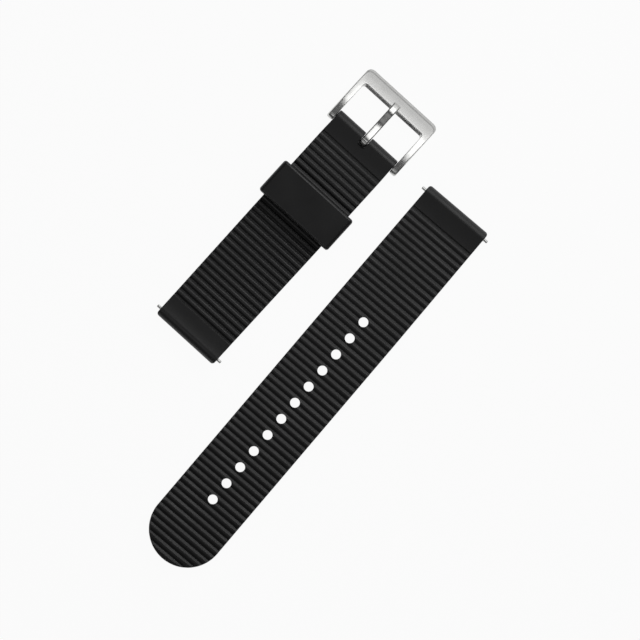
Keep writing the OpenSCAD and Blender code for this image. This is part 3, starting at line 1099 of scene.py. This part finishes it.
def linear(hex_colour):
    """A colour written in sRGB hex, as the linear values that Blender works in."""
    channels = [int(hex_colour[i:i + 2], 16) / 255 for i in (1, 3, 5)]
    return [c / 12.92 if c <= 0.04045 else ((c + 0.055) / 1.055) ** 2.4 for c in channels] + [1.0]


def add_node(tree, kind, sockets=None, links=None, **settings):
    """Adds a node, with its settings, the values of its sockets and what is linked to them."""
    node = tree.nodes.new(kind)
    for name, value in settings.items():
        setattr(node, name, value)
    for name, value in (sockets or {}).items():
        node.inputs[name].default_value = value
    for name, source in (links or {}).items():
        tree.links.new(source, node.inputs[name])
    return node


def new_material(name):
    """A material whose nodes are cleared, and its node tree."""
    material = bpy.data.materials.new(name)
    material.use_nodes = True
    material.node_tree.nodes.clear()
    return material, material.node_tree


def per_mm(size):
    """The scale of a texture whose features are so many millimetres wide."""
    return 1 / (size * MM)


# %% [markdown]
# Polyurethane out of a mould is a deep grey that only looks black. Its skin carries the fine texture of
# the mould, which spreads reflections into a soft sheen, and wide clouds a few millimetres across make
# it a touch duller or shinier from place to place. The real grain is about 0.05 mm and wouldn't show,
# so it is drawn at 0.2 mm on the halves and at 0.15 mm on the keeper, whose mould is a little smoother.

# %% Moulded polyurethane
polyurethane_ior = 1.5
skin_shine = 0.6
skin_cloud_mm = 9.0
skin_spread = 0.04
skin_bump = 0.35


def moulded_polyurethane(name, colour, roughness, grain_mm, grain_depth_mm):
    """Rubber out of a mould, between two shades, with its grain and clouds in its roughness."""
    material, tree = new_material(name)
    place = {"Vector": add_node(tree, "ShaderNodeTexCoord").outputs["Object"]}
    grain = add_node(tree, "ShaderNodeTexNoise", {"Scale": per_mm(grain_mm), "Detail": 3.0}, place)
    cloud = add_node(tree, "ShaderNodeTexNoise", {"Scale": per_mm(skin_cloud_mm), "Detail": 2.0}, place)
    rough = add_node(
        tree, "ShaderNodeMapRange",
        {"From Min": noise_low, "From Max": noise_high,
         "To Min": roughness - skin_spread, "To Max": roughness + skin_spread},
        {"Value": cloud.outputs["Fac"]},
    )
    tone = add_node(
        tree, "ShaderNodeMix", {6: linear(colour[0]), 7: linear(colour[1])},
        {0: cloud.outputs["Fac"]}, data_type="RGBA",
    )
    bump = add_node(
        tree, "ShaderNodeBump", {"Strength": skin_bump, "Distance": grain_depth_mm * MM},
        {"Height": grain.outputs["Fac"]},
    )
    skin = add_node(
        tree, "ShaderNodeBsdfPrincipled", {"IOR": polyurethane_ior, "Specular IOR Level": skin_shine},
        {"Base Color": tone.outputs[2], "Roughness": rough.outputs["Result"],
         "Normal": bump.outputs["Normal"]},
    )
    add_node(tree, "ShaderNodeOutputMaterial", links={"Surface": skin.outputs["BSDF"]})
    print(name, "with a roughness round", roughness)
    return material


strap_rubber = moulded_polyurethane("moulded_polyurethane", ("#1a1a1b", "#1e1e1f"), 0.45, 0.2, 0.01)
keeper_rubber = moulded_polyurethane(
    "moulded_polyurethane_fine", ("#19191a", "#1d1d1e"), 0.41, 0.15, 0.008
)

# %% [markdown]
# The buckle is stainless steel, blasted very fine and then polished, so it is bright without being a
# mirror. The brushing runs across the frame and along the tongue, and round a turned tip. The lines are
# really a few hundredths of a millimetre apart, and are drawn at a tenth so that they show close up. A
# Mapping node stretches plain noise into lines: it is scaled differently along X, Y and Z.

# %% Steel
steel_cloud_mm = 2.5
steel_spread = 0.05
steel_bump = 0.3
line_depth_mm = 0.0008


def satin_steel(name, colour, roughness, stretch):
    """Steel with fine lines; stretch is how far a line runs along X, Y and Z, in millimetres."""
    material, tree = new_material(name)
    place = {"Vector": add_node(tree, "ShaderNodeTexCoord").outputs["Object"]}
    stretched = add_node(
        tree, "ShaderNodeMapping", {"Scale": [per_mm(length) for length in stretch]}, place
    )
    lines = add_node(
        tree, "ShaderNodeTexNoise", {"Scale": 1.0, "Detail": 4.0}, {"Vector": stretched.outputs[0]}
    )
    cloud = add_node(tree, "ShaderNodeTexNoise", {"Scale": per_mm(steel_cloud_mm), "Detail": 3.0}, place)
    rough = add_node(
        tree, "ShaderNodeMapRange",
        {"From Min": noise_low, "From Max": noise_high,
         "To Min": roughness - steel_spread, "To Max": roughness + steel_spread},
        {"Value": cloud.outputs["Fac"]},
    )
    tone = add_node(
        tree, "ShaderNodeMix", {6: linear(colour[0]), 7: linear(colour[1])},
        {0: lines.outputs["Fac"]}, data_type="RGBA",
    )
    bump = add_node(
        tree, "ShaderNodeBump", {"Strength": steel_bump, "Distance": line_depth_mm * MM},
        {"Height": lines.outputs["Fac"]},
    )
    steel = add_node(
        tree, "ShaderNodeBsdfPrincipled", {"Metallic": 1.0},
        {"Base Color": tone.outputs[2], "Roughness": rough.outputs["Result"],
         "Normal": bump.outputs["Normal"]},
    )
    add_node(tree, "ShaderNodeOutputMaterial", links={"Surface": steel.outputs["BSDF"]})
    print(name, "with a roughness round", roughness)
    return material


frame_steel = satin_steel("satin_stainless_steel", ("#c6c6c4", "#cccccb"), 0.25, (0.1, 3.0, 0.1))
tongue_steel = satin_steel("polished_stainless_steel", ("#c8c8c6", "#d0d0ce"), 0.25, (3.0, 0.1, 0.1))
turned_steel = satin_steel("turned_stainless_steel", ("#c4c4c3", "#d2d2d1"), 0.26, (1.0, 0.08, 1.0))
spring_wire = satin_steel("drawn_spring_wire", ("#a9a9ab", "#bcbcbe"), 0.3, (0.5, 0.5, 0.5))

# %% [markdown]
# Every piece gets its finish, rides on the CAD body that it belongs to and takes the place of its CAD
# node. The tubes and the coil springs are right as they are in the CAD model, so those nodes stay and
# only get a better material.

# %% Dress every piece
dressed = [
    (hole_strap, strap_rubber, "hole_half", "hole_strap", "strap_polyurethane"),
    (buckle_strap, strap_rubber, "buckle_half", "buckle_strap", "strap_polyurethane"),
    (keeper, keeper_rubber, "keeper", "keeper", "keeper_polyurethane"),
    (buckle_frame, frame_steel, "frame", "buckle_frame", "buckle_steel"),
    (tongue, tongue_steel, "tongue", "buckle_tongue", "tongue_steel"),
]
for piece, material, body, node, slot_name in dressed:
    piece.data.materials.clear()
    piece.data.materials.append(material)
    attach(piece, body)
    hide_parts(node)
for tip in tips:
    tip.data.materials.clear()
    tip.data.materials.append(turned_steel)
for bar in bars:
    frame["nodes"][f"{bar}_tube"].material_slots[0].material = turned_steel
    frame["nodes"][f"{bar}_spring"].material_slots[0].material = spring_wire
print("dressed", len(dressed) + len(tips), "new pieces and", 2 * len(bars), "CAD nodes")

# %% [markdown]
# The ground is a wide sheet of white paper. A white ground that is only lit would need so much light
# that the strap came out grey. So to the camera and in reflections it glows as white by itself, for
# nearly all of its brightness, and the small rest is lit, so that the strap still leaves a faint shadow.
# It lies a hair under the strap, because two surfaces in one place would flicker.

# %% Ground
ground_size = 30
ground_gap = 0.01
glow_share = 0.95
plain_white = (1, 1, 1, 1)

bpy.ops.object.select_all(action="DESELECT")
bpy.ops.mesh.primitive_plane_add(size=ground_size, location=(0, 0, -ground_gap * MM))
ground = bpy.context.object
ground.name = "ground"
paper, tree = new_material("white_paper")
lit = add_node(tree, "ShaderNodeBsdfDiffuse", {"Color": linear("#f4f4f4")})
glow = add_node(tree, "ShaderNodeEmission", {"Color": plain_white, "Strength": 1.0})
rays = add_node(tree, "ShaderNodeLightPath").outputs
seen = add_node(
    tree, "ShaderNodeMath", links={0: rays["Is Camera Ray"], 1: rays["Is Glossy Ray"]},
    operation="MAXIMUM",
)
share = add_node(tree, "ShaderNodeMath", {1: glow_share}, {0: seen.outputs[0]}, operation="MULTIPLY")
both = add_node(
    tree, "ShaderNodeMixShader", links={0: share.outputs[0], 1: lit.outputs[0], 2: glow.outputs[0]}
)
add_node(tree, "ShaderNodeOutputMaterial", links={"Surface": both.outputs[0]})
ground.data.materials.append(paper)
print("the ground is", ground_size, "m wide")

# %% [markdown]
# The world gives a weak light from all sides, so that no shadow is quite black. The camera sees it as
# white, which makes the background the same as the ground.

# %% World
room_light = 0.08

world = bpy.data.worlds.new("studio")
bpy.context.scene.world = world
world.use_nodes = True
tree = world.node_tree
tree.nodes.clear()
rays = add_node(tree, "ShaderNodeLightPath").outputs
room = add_node(tree, "ShaderNodeBackground", {"Color": plain_white, "Strength": room_light})
white = add_node(tree, "ShaderNodeBackground", {"Color": plain_white, "Strength": 1.0})
both = add_node(
    tree, "ShaderNodeMixShader",
    links={0: rays["Is Camera Ray"], 1: room.outputs[0], 2: white.outputs[0]},
)
add_node(tree, "ShaderNodeOutputWorld", links={"Surface": both.outputs[0]})
print("the room's light has a strength of", room_light)

# %% [markdown]
# Five soft lamps make the bands of light on the strap. Two wide panels stand beyond its buckle end,
# one over the other. They give each rib its bright flank and its dark one, and light the noses. A card
# high over the buckle lies in the frame's upper face as a reflection, and a small one from the other
# side lights its knuckles. A weak panel nearly overhead fills the dark flanks. A lamp is given by what
# the strap sees of it: its direction, how many degrees it covers, and how bright it is against white.

# %% Lamps
def softbox(name, aim, bearing, height, wide, tall, brightness, distance=1.2):
    """A lamp like a softbox, aimed at a place. Angles are in degrees and the distance in metres."""
    turn, rise = math.radians(bearing), math.radians(height)
    away = Vector((math.cos(turn) * math.cos(rise), math.sin(turn) * math.cos(rise), math.sin(rise)))
    bpy.ops.object.light_add(type="AREA", location=Vector(aim) + away * distance)
    lamp = bpy.context.object
    lamp.name = name
    lamp.rotation_euler = away.to_track_quat("Z", "Y").to_euler()
    lamp.data.shape = "RECTANGLE"
    lamp.data.size = 2 * distance * math.tan(math.radians(wide / 2))
    lamp.data.size_y = 2 * distance * math.tan(math.radians(tall / 2))
    # A lamp's face is as bright as white where its power is pi times its area
    lamp.data.energy = brightness * math.pi * lamp.data.size * lamp.data.size_y
    lamp.visible_camera = False
    print(name, "of", round(lamp.data.energy, 3), "W")


strap_middle = (picture_middle[0] * MM, picture_middle[1] * MM, 0)
frame_middle = buckle_axis + Vector((6 * MM, 0, 0))
# Name and aim, then the bearing, height, width and tallness in degrees, and the brightness
softbox("key_panel", strap_middle, -6, 37, 50, 18, 0.95)
softbox("low_panel", strap_middle, -6, 15, 50, 26, 0.5)
softbox("buckle_card", frame_middle, -8, 61, 32, 32, 2.0, distance=0.2)
softbox("knuckle_card", buckle_axis, 180, 45, 13, 10, 1.6, distance=0.13)
softbox("fill_panel", strap_middle, 180, 69, 44, 24, 0.25)

# %% [markdown]
# The standard view transform shows colours about as they are written.

# %% The view transform and the end
bpy.context.scene.view_settings.view_transform = "Standard"
